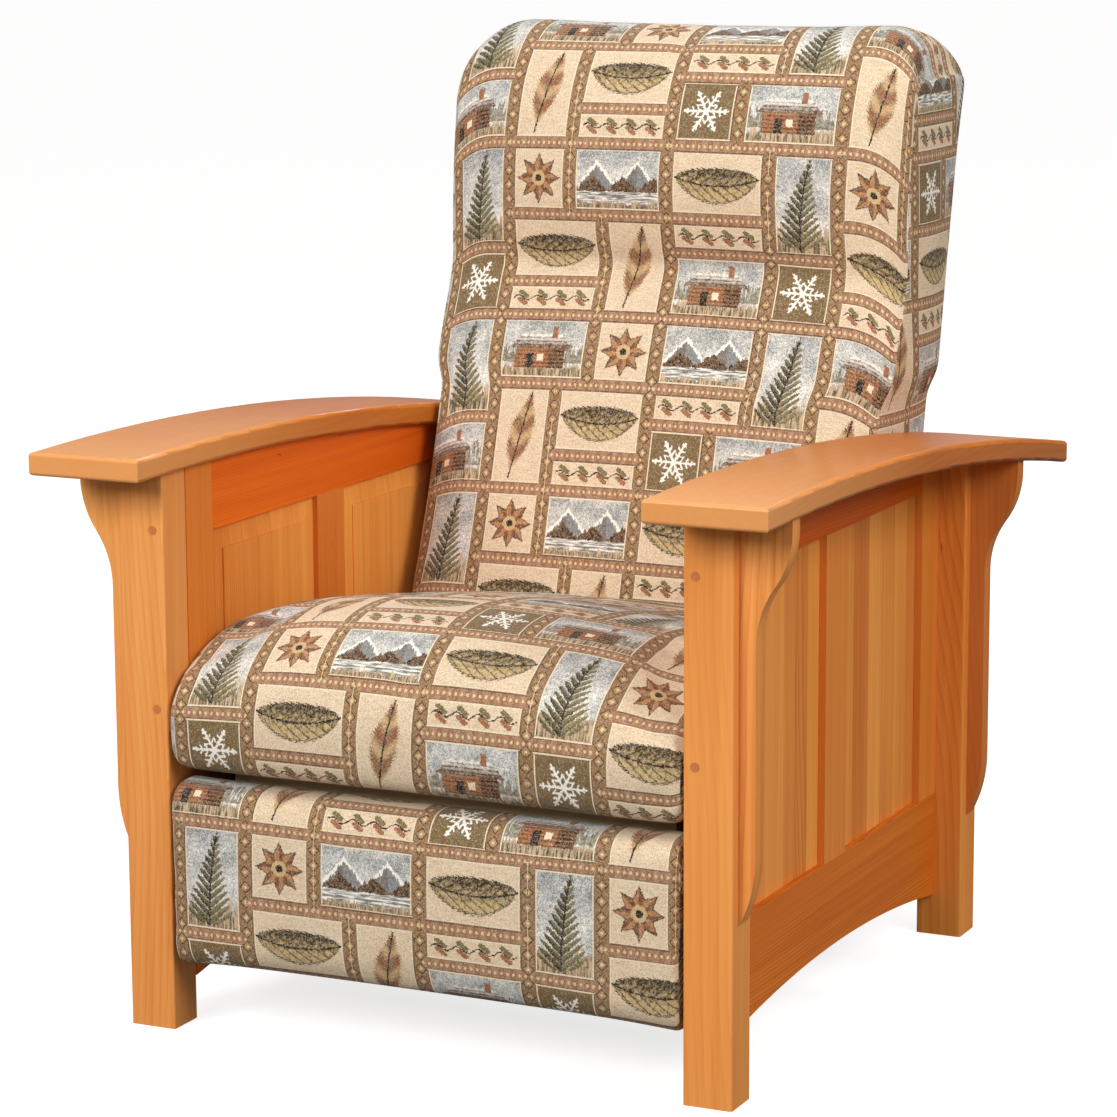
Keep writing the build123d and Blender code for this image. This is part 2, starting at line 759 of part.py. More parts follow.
def back_section(x):
    """Side profile of the back cushion at x."""
    crown = back_crown * (1 - (x / back_half_width)**2)
    brow_height = back_top_height - back_brow_drop
    crease_height = brow_height - back_pillow_height
    foot = (front + back_foot_setback, back_bottom)
    lumbar = (front + back_lumbar_setback - crown, (back_bottom + crease_height) / 2)
    crease = (front + back_crease_setback - crown / 2, crease_height)
    head = (front + back_head_setback - 2 * crown, (crease_height + brow_height) / 2)
    brow = (front + back_brow_setback - crown, brow_height)
    heel = back_point(0, (back_top_height - back_heel_drop - back_bottom) / cos(lean))
    with BuildSketch(Plane.YZ.offset(x)) as section:
        with BuildLine():
            ThreePointArc(foot, lumbar, crease)
            ThreePointArc(crease, head, brow)
            ThreePointArc(brow, (front + back_top_setback, back_top_height), heel)
            Polyline(heel, rear_foot, foot)
        make_face()
    return section.sketch


with BuildPart() as back_cushion:
    loft([back_section(back_half_width * share) for share in back_station_shares], ruled=True)
    with BuildSketch(Plane.XZ):
        with BuildLine():
            low = back_bottom - overrun
            high = back_top_height - back_corner
            wide = back_half_width
            slope = back_corner * (1 - sqrt(0.5))
            for side in (-1, 1):
                ThreePointArc((side * wide, low), (side * (wide - back_side_drawn), (low + high) / 2),
                              (side * wide, high))
                ThreePointArc((side * wide, high), (side * (wide - slope), back_top_height - slope),
                              (side * (wide - back_corner), back_top_height))
            Line((back_corner - wide, back_top_height), (wide - back_corner, back_top_height))
            Line((wide, low), (-wide, low))
        make_face()
    extrude(amount=arm_length, both=True, mode=Mode.INTERSECT)
    with BuildSketch(Plane.YZ.offset(-pocket_half_width)):
        roof = post_top + cloth_gap
        wall = frame_front + cloth_gap
        pocket = back_points((-overrun, -overrun), (wall, -overrun), (wall, roof), (-overrun, roof))
        Polygon(*pocket, align=None)
    extrude(amount=2 * pocket_half_width, mode=Mode.SUBTRACT)
finish(back_cushion, "back_cushion")
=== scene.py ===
import math

import bpy
from mathutils import Matrix, Vector


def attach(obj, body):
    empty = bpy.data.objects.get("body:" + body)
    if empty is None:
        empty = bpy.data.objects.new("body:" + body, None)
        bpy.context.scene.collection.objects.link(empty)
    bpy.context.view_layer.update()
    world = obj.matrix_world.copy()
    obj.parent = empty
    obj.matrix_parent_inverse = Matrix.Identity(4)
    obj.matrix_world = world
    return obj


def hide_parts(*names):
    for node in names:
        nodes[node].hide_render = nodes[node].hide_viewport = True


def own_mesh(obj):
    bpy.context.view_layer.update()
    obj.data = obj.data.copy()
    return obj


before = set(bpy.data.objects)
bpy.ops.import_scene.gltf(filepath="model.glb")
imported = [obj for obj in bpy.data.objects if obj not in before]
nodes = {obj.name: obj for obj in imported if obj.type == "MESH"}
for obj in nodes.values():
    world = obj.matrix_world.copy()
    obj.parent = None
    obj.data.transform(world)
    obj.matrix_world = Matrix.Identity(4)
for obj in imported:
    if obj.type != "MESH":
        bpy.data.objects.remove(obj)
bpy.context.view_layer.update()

# Studio: a pale floor that runs out to white, soft lights from the front, the right, above
# and behind, and a long lens at the height of a seated person's eyes.
camera_place = Vector((1.7132, -3.6344, 1.2195))
camera_azimuth = math.radians(25.523)
camera_drop = math.radians(10.769)
camera_roll = math.radians(-0.283)
camera_lens = 123.03

flat_right = Vector((math.cos(camera_azimuth), math.sin(camera_azimuth), 0))
forward = Vector((-math.sin(camera_azimuth) * math.cos(camera_drop),
                  math.cos(camera_azimuth) * math.cos(camera_drop), -math.sin(camera_drop)))
flat_up = flat_right.cross(forward)
right = flat_right * math.cos(camera_roll) + flat_up * math.sin(camera_roll)
up = flat_up * math.cos(camera_roll) - flat_right * math.sin(camera_roll)

camera_data = bpy.data.cameras.new("studio_camera")
camera_data.lens = camera_lens
camera_data.sensor_width = 36
camera_data.clip_end = 50
camera = bpy.data.objects.new("studio_camera", camera_data)
camera.matrix_world = Matrix.Translation(camera_place) @ Matrix((right, up, -forward)).transposed().to_4x4()
bpy.context.scene.collection.objects.link(camera)
bpy.context.scene.camera = camera
bpy.context.scene.view_settings.view_transform = "Standard"


def linear(red, green, blue):
    """A colour as it is seen on a screen, 0 to 255, as the light that a shader works with."""
    shares = [value / 255 for value in (red, green, blue)]
    light = [share / 12.92 if share <= 0.04045 else ((share + 0.055) / 1.055)**2.4 for share in shares]
    return (*light, 1)


def new_material(name):
    """A material with its Principled shader, ready for nodes."""
    made = bpy.data.materials.new(name)
    made.use_nodes = True
    return made, made.node_tree, made.node_tree.nodes["Principled BSDF"]


def mesh_piece(name, points, faces):
    """A piece made of points in the shared frame and the faces between them, shaded smooth."""
    mesh = bpy.data.meshes.new(name)
    mesh.from_pydata(points, [], faces)
    mesh.shade_smooth()
    made = bpy.data.objects.new(name, mesh)
    bpy.context.scene.collection.objects.link(made)
    return made


def softbox(name, place, aim, width, height, power, colour):
    """A rectangular soft light at a place, aimed at a point."""
    data = bpy.data.lights.new(name, "AREA")
    data.shape = "RECTANGLE"
    data.size = width
    data.size_y = height
    data.energy = power
    data.color = colour
    made = bpy.data.objects.new(name, data)
    made.location = place
    made.rotation_euler = (Vector(aim) - Vector(place)).to_track_quat("-Z", "Y").to_euler()
    made.visible_camera = False
    bpy.context.scene.collection.objects.link(made)


white = (1, 1, 1, 1)
floor_reach = 30.0
floor_grey = linear(190, 189, 188)
floor_glow = 0.76
floor = mesh_piece("studio_floor", [(-floor_reach, -floor_reach, 0), (floor_reach, -floor_reach, 0),
                                    (floor_reach, floor_reach, 0), (-floor_reach, floor_reach, 0)],
                   [(0, 1, 2, 3)])
floor_paper, _, floor_shader = new_material("studio_paper")
floor_shader.inputs["Base Color"].default_value = floor_grey
floor_shader.inputs["Emission Color"].default_value = white
floor_shader.inputs["Emission Strength"].default_value = floor_glow
floor_shader.inputs["Roughness"].default_value = 0.9
floor_shader.inputs["Specular IOR Level"].default_value = 0.1
floor.data.materials.append(floor_paper)
floor.visible_diffuse = False
floor.visible_glossy = False

light_aim = (0, 0, 0.5)
softbox("key_light", (-1.0, -3.8, 2.4), light_aim, 2.0, 1.6, 133, (1, 0.985, 0.96))
softbox("side_light", (2.9, -1.1, 2.3), light_aim, 1.4, 1.4, 62, (1, 0.97, 0.93))
softbox("top_light", (0.1, -0.4, 3.2), light_aim, 2.4, 2.0, 22, (1, 0.99, 0.97))
softbox("sheen_card", (-1.0, 3.2, 2.35), light_aim, 1.6, 1.1, 32, (1, 0.98, 0.96))

# The sky's light grows from below the horizon upwards, and the camera sees plain white in its place
sky_slope = (-0.4, 0.3)
sky_light = (0.14, 0.42)
sky = bpy.data.worlds.new("studio_sky")
sky.use_nodes = True
sky_tree = sky.node_tree
sky_tree.nodes["Background"].inputs["Color"].default_value = white
sky_compass = sky_tree.nodes.new("ShaderNodeTexCoord")
sky_parts = sky_tree.nodes.new("ShaderNodeSeparateXYZ")
sky_climb = sky_tree.nodes.new("ShaderNodeMapRange")
sky_climb.inputs["From Min"].default_value, sky_climb.inputs["From Max"].default_value = sky_slope
sky_climb.inputs["To Min"].default_value, sky_climb.inputs["To Max"].default_value = sky_light
sky_tree.links.new(sky_compass.outputs["Generated"], sky_parts.inputs[0])
sky_tree.links.new(sky_parts.outputs["Z"], sky_climb.inputs["Value"])
sky_tree.links.new(sky_climb.outputs["Result"], sky_tree.nodes["Background"].inputs["Strength"])
backdrop = sky_tree.nodes.new("ShaderNodeBackground")
backdrop.inputs["Color"].default_value = white
seen = sky_tree.nodes.new("ShaderNodeLightPath")
either = sky_tree.nodes.new("ShaderNodeMixShader")
sky_tree.links.new(seen.outputs["Is Camera Ray"], either.inputs[0])
sky_tree.links.new(sky_tree.nodes["Background"].outputs[0], either.inputs[1])
sky_tree.links.new(backdrop.outputs[0], either.inputs[2])
sky_tree.links.new(either.outputs[0], sky_tree.nodes["World Output"].inputs[0])
bpy.context.scene.world = sky


# Cherry side frames: legs, stiles, rails, glued-up panels, corbels and the rear stretcher,
# planed from solid boards, oiled and rubbed to a satin finish. Each board has its own figure.
class Field:
    """A value that varies over a surface, with the arithmetic that shader nodes do on it."""

    def __init__(self, tree, socket):
        self.tree = tree
        self.socket = socket

    def math(self, operation, *others):
        node = self.tree.nodes.new("ShaderNodeMath")
        node.operation = operation
        for entry, value in zip(node.inputs, (self, *others)):
            if isinstance(value, Field):
                self.tree.links.new(value.socket, entry)
            else:
                entry.default_value = value
        return Field(self.tree, node.outputs[0])

    def __add__(self, other):
        return self.math("ADD", other)

    def __sub__(self, other):
        return self.math("SUBTRACT", other)

    def __mul__(self, other):
        return self.math("MULTIPLY", other)

    def __truediv__(self, other):
        return self.math("DIVIDE", other)

    def __lt__(self, other):
        return self.math("LESS_THAN", other)

    def __gt__(self, other):
        return self.math("GREATER_THAN", other)

    def __abs__(self):
        return self.math("ABSOLUTE")

    def less(self, other):
        return self.math("MINIMUM", other)

    def more(self, other):
        return self.math("MAXIMUM", other)

    def flipped(self):
        """One less the value."""
        return (self * -1.0) + 1.0

    def clipped(self):
        """The value, held from 0 to 1."""
        return self.more(0.0).less(1.0)

    def share(self, low, high):
        """0 below low and 1 above high, straight between them."""
        return ((self - low) * (1 / (high - low))).clipped()

    def repeat(self, pitch):
        """Where the value lies in a repeat, from 0 to 1."""
        return (self / pitch).math("FRACT")


def object_fields(tree):
    """The piece's own X, Y and Z, in metres."""
    place = tree.nodes.new("ShaderNodeTexCoord")
    split = tree.nodes.new("ShaderNodeSeparateXYZ")
    tree.links.new(place.outputs["Object"], split.inputs[0])
    return [Field(tree, socket) for socket in split.outputs]


def joined(tree, *parts):
    """Three fields or numbers as one vector socket."""
    node = tree.nodes.new("ShaderNodeCombineXYZ")
    for entry, value in zip(node.inputs, parts):
        if isinstance(value, Field):
            tree.links.new(value.socket, entry)
        else:
            entry.default_value = value
    return node.outputs[0]


def noise(tree, parts, detail=2.0):
    """Soft noise from 0 to 1 over three fields, whose unit is the size of one patch."""
    node = tree.nodes.new("ShaderNodeTexNoise")
    node.inputs["Scale"].default_value = 1.0
    node.inputs["Detail"].default_value = detail
    tree.links.new(joined(tree, *parts), node.inputs["Vector"])
    return Field(tree, node.outputs[0])


def scatter(tree, field):
    """Three random values from 0 to 1 for each whole value of a field."""
    node = tree.nodes.new("ShaderNodeTexWhiteNoise")
    node.noise_dimensions = "1D"
    tree.links.new(field.socket, node.inputs["W"])
    split = tree.nodes.new("ShaderNodeSeparateColor")
    tree.links.new(node.outputs["Color"], split.inputs[0])
    return [Field(tree, socket) for socket in split.outputs[:3]]


def tinted(share, below, above):
    """One colour laid over another by a share; either may be a colour or a socket."""
    tree = share.tree
    node = tree.nodes.new("ShaderNodeMix")
    node.data_type = "RGBA"
    tree.links.new(share.socket, node.inputs[0])
    for entry, colour in ((node.inputs[6], below), (node.inputs[7], above)):
        if isinstance(colour, tuple):
            entry.default_value = colour
        else:
            tree.links.new(colour, entry)
    return node.outputs[2]


def relief(tree, shader, height, distance, strength):
    """Bump from a height field, on the shader's normal."""
    node = tree.nodes.new("ShaderNodeBump")
    node.inputs["Distance"].default_value = distance
    node.inputs["Strength"].default_value = strength
    tree.links.new(height.socket, node.inputs["Height"])
    tree.links.new(node.outputs[0], shader.inputs["Normal"])


cherry_pale = linear(240, 172, 100)
cherry_mid = linear(224, 140, 70)
cherry_warm = linear(196, 104, 42)
cherry_gum = linear(96, 44, 16)
# Painted sheen: a pale cream laid over the arms towards their fronts, standing in for the light reflected on
# their tops
cherry_painted_sheen = linear(242, 180, 116)


def cherry(name, grain, seed, light=cherry_pale, deep=cherry_warm, joints=(), bow=0.0, gloss=0.03,
           uneven=0.4, tip=None):
    """Cherry wood with its grain along an axis. joints are glue lines across the boards, in metres.

    uneven is how far boards differ in tone, and bow how fast the grain curves along an arm. A board
    with a tip is painted paler towards its front, from one distance ahead to another: a painted sheen
    that stands in for the light reflected on an arm's top.
    """
    pith = 0.05
    ring_width = 0.0036
    made, tree, shader = new_material(name)
    x, y, z = object_fields(tree)
    if bow:
        z = z + (y * y) * bow
    along, face, depth = {"Z": (z, y, x), "Y": (y, z, x), "X": (x, z, y), "ARM": (y, x, z)}[grain]
    board = (face * 0.0) + float(seed)
    for place in joints:
        board = board + (face > place)
    shift, slide, tone = scatter(tree, board)
    across = face + (shift - 0.5) * 0.5
    run = along + slide * 3.0
    inward = depth + tone * 0.3
    sway = noise(tree, (across * 5.0, run * 1.1, inward * 5.0), 1.0) - 0.5
    ripple = noise(tree, (across * 22.0, run * 4.0, inward * 22.0)) - 0.5
    offset = across + sway * 0.07 + ripple * 0.005
    from_pith = ((offset * offset) + pith * pith).math("SQRT")
    rings = (from_pith + inward * 0.4).repeat(ring_width)
    late = rings * rings * rings
    streak = noise(tree, (across * 150.0, run * 1.8, inward * 150.0), 3.0)
    fibre = noise(tree, (across * 700.0, run * 14.0, inward * 700.0))
    cloud = noise(tree, (across * 9.0, run * 2.4, inward * 9.0), 1.0)
    depth_of_tone = ((streak - 0.5) * 0.75 + late * (tone * 0.42 + 0.06) + (cloud - 0.5) * 0.8
                     + (fibre - 0.5) * 0.22 + (tone - 0.5) * uneven + 0.42).clipped()
    colour = tinted(depth_of_tone, light, deep)
    # Painted sheen: the board is painted paler towards its front, standing in for the light reflected on an
    # arm's top
    if tip:
        colour = tinted((along * -1.0).share(*tip) * 0.5, colour, cherry_painted_sheen)
    flecks = noise(tree, (across * 190.0, run * 22.0, inward * 190.0), 1.0).share(0.79, 0.81)
    colour = tinted(flecks * 0.5, colour, cherry_gum)
    tree.links.new(colour, shader.inputs["Base Color"])
    tree.links.new(((fibre * 0.14) + 0.36).socket, shader.inputs["Roughness"])
    shader.inputs["Specular IOR Level"].default_value = 0.08
    shader.inputs["Coat Weight"].default_value = gloss
    shader.inputs["Coat Roughness"].default_value = 0.2
    relief(tree, shader, fibre + late * 0.3, 0.0002, 0.4)
    return made


def refinish(name, material):
    """Gives a node of the frame its material; its shape stays as it is."""
    for slot in nodes[name].material_slots:
        slot.material = material


# Painted shade: the right front leg's tones are a little deeper than the left's, standing in for the shade on
# its outer side
front_leg_tones = {"left": {"light": linear(240, 170, 98), "deep": linear(216, 128, 60)},
                   "right": {"light": linear(240, 164, 88), "deep": linear(216, 122, 52)}}
rear_leg_tones = {"light": linear(250, 174, 86), "deep": linear(220, 122, 46)}
front_corbel_tones = {"light": linear(244, 172, 96), "deep": linear(206, 112, 44)}
stile_tones = {"light": linear(238, 150, 66), "deep": linear(210, 114, 42)}
# Painted shade: the top rails, under the arms' overhang, are coloured deeper and redder, standing in for the
# arms' shadow and the warm light bounced between the boards
top_rail_tones = {"light": linear(246, 120, 28), "deep": linear(206, 84, 14)}
bottom_rail_tones = {"light": linear(246, 148, 50), "deep": linear(202, 100, 28)}
panel_tones = {"light": linear(249, 168, 82), "deep": linear(209, 116, 44), "uneven": 0.5}
front_panel_joints = (-0.242, -0.196, -0.148, -0.118, -0.084)
rear_panel_joints = (0.045, 0.09, 0.128, 0.166, 0.204)
# The arms carry a painted sheen: paler towards their fronts, standing in for the light reflected on their
# tops
arm_radius = 4.4
arm_painted_sheen_reach = (0.0, 0.43)
arm_finish_and_painted_sheen = {"light": linear(204, 118, 40), "deep": linear(174, 88, 18), "bow": 1 / (2 * arm_radius),
              "gloss": 0.3, "uneven": 0.2, "tip": arm_painted_sheen_reach}
for number, side in enumerate(("left", "right")):
    seed = 10 + 40 * number
    boards = (("front_leg", "Z", front_leg_tones[side]),
              ("rear_leg", "Z", rear_leg_tones),
              ("front_corbel", "Z", front_corbel_tones),
              ("rear_corbel", "Z", {"light": cherry_mid}),
              ("front_stile", "Z", stile_tones),
              ("centre_stile", "Z", stile_tones),
              ("rear_stile", "Z", stile_tones),
              ("top_rail", "Y", top_rail_tones),
              ("bottom_rail", "Y", bottom_rail_tones),
              ("front_panel", "Z", {**panel_tones, "joints": front_panel_joints}),
              ("rear_panel", "Z", {**panel_tones, "joints": rear_panel_joints}))
    for step, (board_name, grain, finish) in enumerate(boards):
        node_name = side + "_" + board_name
        refinish(node_name, cherry("cherry_" + node_name, grain, seed + 3 * step, **finish))
    refinish(side + "_arm", cherry("cherry_" + side + "_arm", "ARM", seed + 37, **arm_finish_and_painted_sheen))
refinish("rear_stretcher", cherry("cherry_rear_stretcher", "X", 95))


# Leg pegs: four turned cherry plugs, a little darker than the leg and a hair proud of it,
# that pin the side frames' joints.
peg_wood, peg_tree, peg_shader = new_material("cherry_peg")
peg_x, peg_y, peg_z = object_fields(peg_tree)
peg_grain = noise(peg_tree, (peg_x * 400.0, peg_y * 40.0, peg_z * 400.0), 3.0)
peg_tree.links.new(tinted(peg_grain, linear(216, 134, 70), linear(172, 92, 42)),
                   peg_shader.inputs["Base Color"])
peg_shader.inputs["Roughness"].default_value = 0.45
refinish("leg_pegs", peg_wood)


# Mechanism: carriers, scissor links, side plates, brackets, base plates and tubes of mild
# steel, blackened, with a faint mottle where the coating is thin.
steel, steel_tree, steel_shader = new_material("dark_steel")
steel_x, steel_y, steel_z = object_fields(steel_tree)
steel_mottle = noise(steel_tree, (steel_x * 60.0, steel_y * 60.0, steel_z * 60.0), 4.0)
steel_scratch = noise(steel_tree, (steel_x * 900.0, steel_y * 60.0, steel_z * 900.0), 2.0)
steel_tree.links.new(tinted(steel_mottle, linear(44, 44, 46), linear(74, 73, 72)),
                     steel_shader.inputs["Base Color"])
steel_tree.links.new(((steel_scratch * 0.3) + 0.32).socket, steel_shader.inputs["Roughness"])
steel_shader.inputs["Metallic"].default_value = 0.85
relief(steel_tree, steel_shader, steel_scratch, 0.0001, 0.4)
steel_pieces = ["base_plate", "rear_carrier", "front_carrier", "side_plate", "footrest_bracket"]
steel_pieces += ["scissor_link_" + letter for letter in "abcde"]
for side in ("left", "right"):
    for piece_name in steel_pieces:
        refinish(side + "_" + piece_name, steel)
refinish("base_tubes", steel)
refinish("back_hinge_plates", steel)


# Seat box, back frame and footrest board: birch plywood, bare and sanded, with its pale
# rotary-cut grain along the board.
ply, ply_tree, ply_shader = new_material("plywood")
ply_x, ply_y, ply_z = object_fields(ply_tree)
ply_figure = noise(ply_tree, (ply_x * 9.0, ply_y * 30.0, ply_z * 30.0), 4.0)
ply_fibre = noise(ply_tree, (ply_x * 40.0, ply_y * 700.0, ply_z * 700.0))
ply_tone = ply_figure * 0.7 + ply_fibre * 0.3
ply_tree.links.new(tinted(ply_tone, linear(226, 200, 158), linear(190, 154, 108)),
                   ply_shader.inputs["Base Color"])
ply_shader.inputs["Roughness"].default_value = 0.62
relief(ply_tree, ply_shader, ply_fibre, 0.0002, 0.5)
for piece_name in ("left_seat_side_rail", "right_seat_side_rail", "seat_cross_rails", "footrest_board",
                   "left_back_post", "right_back_post", "back_rails"):
    refinish(piece_name, ply)


# Seat webbing: six jute-and-rubber straps in a plain weave, stretched from the seat box's
# front rail to its rear rail.
strap, strap_tree, strap_shader = new_material("webbing")
strap_x, strap_y, _ = object_fields(strap_tree)
strap_threads = 1400.0
strap_weave = (strap_x * strap_threads).math("SINE") * (strap_y * strap_threads).math("SINE")
strap_tree.links.new(tinted(strap_weave.share(-0.6, 0.6), linear(70, 62, 52), linear(116, 102, 82)),
                     strap_shader.inputs["Base Color"])
strap_shader.inputs["Roughness"].default_value = 0.85
relief(strap_tree, strap_shader, strap_weave, 0.0004, 0.7)
refinish("seat_webbing", strap)


# Seat cushion: a foam core in a woven tapestry cover, one cloth over the nose and the top,
# with a boxing strip sewn on at each end by a plain seam. It rests flat on the webbing.
cloth_cream = linear(237, 217, 188)
cloth_tan = linear(206, 177, 142)
cloth_slate = linear(138, 141, 142)
cloth_white = linear(246, 240, 229)
cloth_brown = linear(126, 91, 58)
cloth_rust = linear(156, 100, 64)
cloth_olive = linear(120, 106, 64)
cloth_dark = linear(46, 31, 17)
cloth_repeat = 0.4
cloth_cell = 0.04
cloth_thread = 0.0008
cloth_rib = 0.0009
# Each block: its left and bottom edge, width and height, in cells, and its picture
cloth_blocks = ((0, 8, 3, 2, "peaks"), (3, 7, 2, 3, "fern"), (5, 8, 3, 2, "cabin"), (8, 8, 2, 2, "star"),
                (0, 7, 3, 1, "vine"), (5, 5, 2, 3, "feather"), (7, 6, 3, 2, "blade"), (0, 5, 2, 2, "crystal"),
                (2, 5, 3, 2, "cabin"), (7, 5, 3, 1, "vine"), (0, 3, 3, 2, "blade"), (3, 2, 2, 3, "fern"),
                (5, 3, 2, 2, "star"), (7, 3, 3, 2, "peaks"), (0, 2, 3, 1, "vine"), (5, 1, 3, 2, "blade"),
                (8, 0, 2, 3, "feather"), (0, 0, 3, 2, "cabin"), (3, 0, 2, 2, "crystal"), (5, 0, 3, 1, "vine"))


def tapestry(name):
    """Woven tapestry: framed pictures in a block layout, with border strips, on the cloth's own UV."""
    made, tree, shader = new_material(name)
    layout = tree.nodes.new("ShaderNodeUVMap")
    layout.uv_map = "cloth"
    split = tree.nodes.new("ShaderNodeSeparateXYZ")
    tree.links.new(layout.outputs[0], split.inputs[0])
    warp, weft = [Field(tree, socket) for socket in split.outputs[:2]]
    along = warp.math("SNAP", cloth_thread)
    upward = weft.math("SNAP", cloth_rib)
    heather_node = tree.nodes.new("ShaderNodeTexWhiteNoise")
    heather_node.noise_dimensions = "2D"
    tree.links.new(joined(tree, along, upward, 0.0), heather_node.inputs["Vector"])
    heather = Field(tree, heather_node.outputs["Value"])
    column = along.math("FLOORED_MODULO", cloth_repeat)
    row = upward.math("FLOORED_MODULO", cloth_repeat)

    centre_x = centre_y = half_x = half_y = None
    kinds = {}
    for left, bottom, wide, high, kind in cloth_blocks:
        middle_x = (left + wide / 2) * cloth_cell
        middle_y = (bottom + high / 2) * cloth_cell
        inside = column.math("COMPARE", middle_x, wide * cloth_cell / 2)
        inside = inside * row.math("COMPARE", middle_y, high * cloth_cell / 2)
        kinds[kind] = inside if kind not in kinds else kinds[kind].more(inside)
        parts = [inside * middle_x, inside * middle_y, inside * (wide * cloth_cell / 2),
                 inside * (high * cloth_cell / 2)]
        if centre_x is None:
            centre_x, centre_y, half_x, half_y = parts
        else:
            centre_x = centre_x.more(parts[0])
            centre_y = centre_y.more(parts[1])
            half_x = half_x.more(parts[2])
            half_y = half_y.more(parts[3])
    edge_x = half_x - abs(column - centre_x)
    edge_y = half_y - abs(row - centre_y)
    edge = edge_x.less(edge_y)
    x = column - centre_x + (noise(tree, (along * 330.0, upward * 330.0, 11.0), 1.0) - 0.5) * 0.0032
    y = row - centre_y + (noise(tree, (along * 330.0, upward * 330.0, 23.0), 1.0) - 0.5) * 0.0032
    low = (y * -1.0) / half_y
    blur = noise(tree, (along * 240.0, upward * 240.0, 0.0), 2.0)
    soft = noise(tree, (along * 38.0, upward * 38.0, 3.0), 2.0)
    blades = noise(tree, (along * 420.0, upward * 46.0, 7.0), 1.0)

    # Ground: a heathered sky, slate at the top, over a streaky meadow; or plain cream
    sky_tone = (soft * 1.3 + low * 0.34 + (blur - 0.5) * 0.9 + heather * 0.6 - 0.45).clipped()
    ground = tinted(sky_tone, cloth_slate, cloth_white)
    meadow = (low + (blades - 0.5) * 0.9).share(0.4, 0.5)
    grass = tinted(blades.share(0.38, 0.62), linear(86, 74, 40), cloth_tan)
    ground = tinted(meadow, ground, grass)
    plain = kinds["blade"].more(kinds["vine"]).more(kinds["star"]).more(kinds["feather"])
    weft_streak = noise(tree, (along * 70.0, upward * 700.0, 5.0), 1.0)
    parchment = tinted((weft_streak + heather * 0.4 + soft * 0.4 - 0.4).clipped(), cloth_tan, cloth_cream)
    colour = tinted(plain, ground, parchment)
    colour = tinted(kinds["crystal"], colour, tinted(blur, cloth_olive, cloth_brown))

    # Peaks: a pale range with snow on it, a dark wooded ridge before it, and a lake
    far_top = x.math("PINGPONG", 0.025) * 1.1 + (blur - 0.5) * 0.008 - 0.006
    far_range = (y < far_top) * kinds["peaks"]
    facet = (x.repeat(0.05) > 0.5) * 0.5 + (blur - 0.5) * 1.2 + 0.3
    colour = tinted(far_range, colour, tinted(facet.clipped(), linear(112, 98, 84), cloth_slate))
    snow = (y > (far_top - 0.005 + (blades - 0.5) * 0.014)) * far_range
    colour = tinted(snow, colour, cloth_white)
    near_top = (x + 0.011).math("PINGPONG", 0.019) * 0.75 + (blades - 0.5) * 0.012 - 0.011
    near_range = (y < near_top) * kinds["peaks"]
    colour = tinted(near_range, colour, tinted(blur.share(0.35, 0.65), cloth_dark, cloth_brown))
    lake = (y < -0.013) * kinds["peaks"]
    shine = noise(tree, (along * 60.0, upward * 500.0, 1.0), 1.0).share(0.42, 0.6)
    colour = tinted(lake, colour, tinted(shine, linear(118, 118, 112), cloth_white))
    shore = (low + (blades - 0.5) * 0.5).share(0.6, 0.66) * kinds["peaks"]
    colour = tinted(shore, colour, grass)

    # Cabin: log walls, a door and a lit window, a shingled roof and a chimney, before dark woods
    hut = kinds["cabin"]
    woods = (y < ((blades - 0.5) * 0.05 + (soft - 0.5) * 0.03 - 0.001)) * (y > -0.016) * hut
    colour = tinted(woods * 0.85, colour,
                    tinted(blur.share(0.4, 0.6), linear(92, 84, 58), linear(150, 142, 118)))
    hut_x = x + 0.003
    hut_y = y + 0.021
    walls = (abs(hut_x) < 0.031) * (abs(hut_y - 0.011) < 0.012) * hut
    logs = abs((hut_y.repeat(0.0046) - 0.5) * 2.0)
    log_tone = (logs * 0.7 + (blur - 0.5) * 0.7 + (hut_x > 0.011) * 0.4).clipped()
    colour = tinted(walls, colour, tinted(log_tone, linear(176, 116, 70), cloth_dark))
    door = (abs(hut_x + 0.012) < 0.0044) * (abs(hut_y - 0.0075) < 0.0085) * hut
    pane = (abs(hut_x - 0.001) < 0.004) * (abs(hut_y - 0.011) < 0.004) * hut
    colour = tinted(door, colour, cloth_dark)
    colour = tinted(pane, colour, cloth_cream)
    rise = hut_y - 0.022
    roof = (abs(rise - 0.0085) < 0.0085) * ((abs(hut_x) + rise * 0.9) < 0.039) * hut
    shingle = ((rise * 60.0) + (blur - 0.5) * 1.2 + (rise.repeat(0.0042) > 0.7) * -0.4).less(1.0).more(0.0)
    colour = tinted(roof, colour, tinted(shingle, linear(98, 68, 42), cloth_white))
    stack = (abs(hut_x - 0.016) < 0.0034) * (abs(rise - 0.018) < 0.0065) * hut
    colour = tinted(stack, colour, cloth_rust)

    # Fern: a leaning stem with slanting leaflets that shorten to the tip, darker on one side
    rank = kinds["fern"]
    tall = y + 0.05
    bend = x - (tall * tall) * 1.1 + 0.004
    spread = (tall * -0.3 + 0.0315).less(tall * 3.2)
    leaflet = (tall - abs(bend) * 0.8).repeat(0.0088)
    frond = (abs(bend) < (spread * ((leaflet * math.pi).math("SINE") * 0.75 + 0.3))) * (leaflet < 0.84) * rank
    frond = frond * (tall.math("COMPARE", 0.051, 0.05))
    leaf_tone = (leaflet * 0.75 + (blur - 0.5) * 1.1 + (bend > 0.0) * 0.3 - 0.1).clipped()
    colour = tinted(frond, colour, tinted(leaf_tone, linear(46, 40, 20), linear(150, 138, 94)))
    stem = (abs(bend) < 0.0011) * (tall.math("COMPARE", 0.048, 0.048)) * rank
    colour = tinted(stem, colour, cloth_dark)

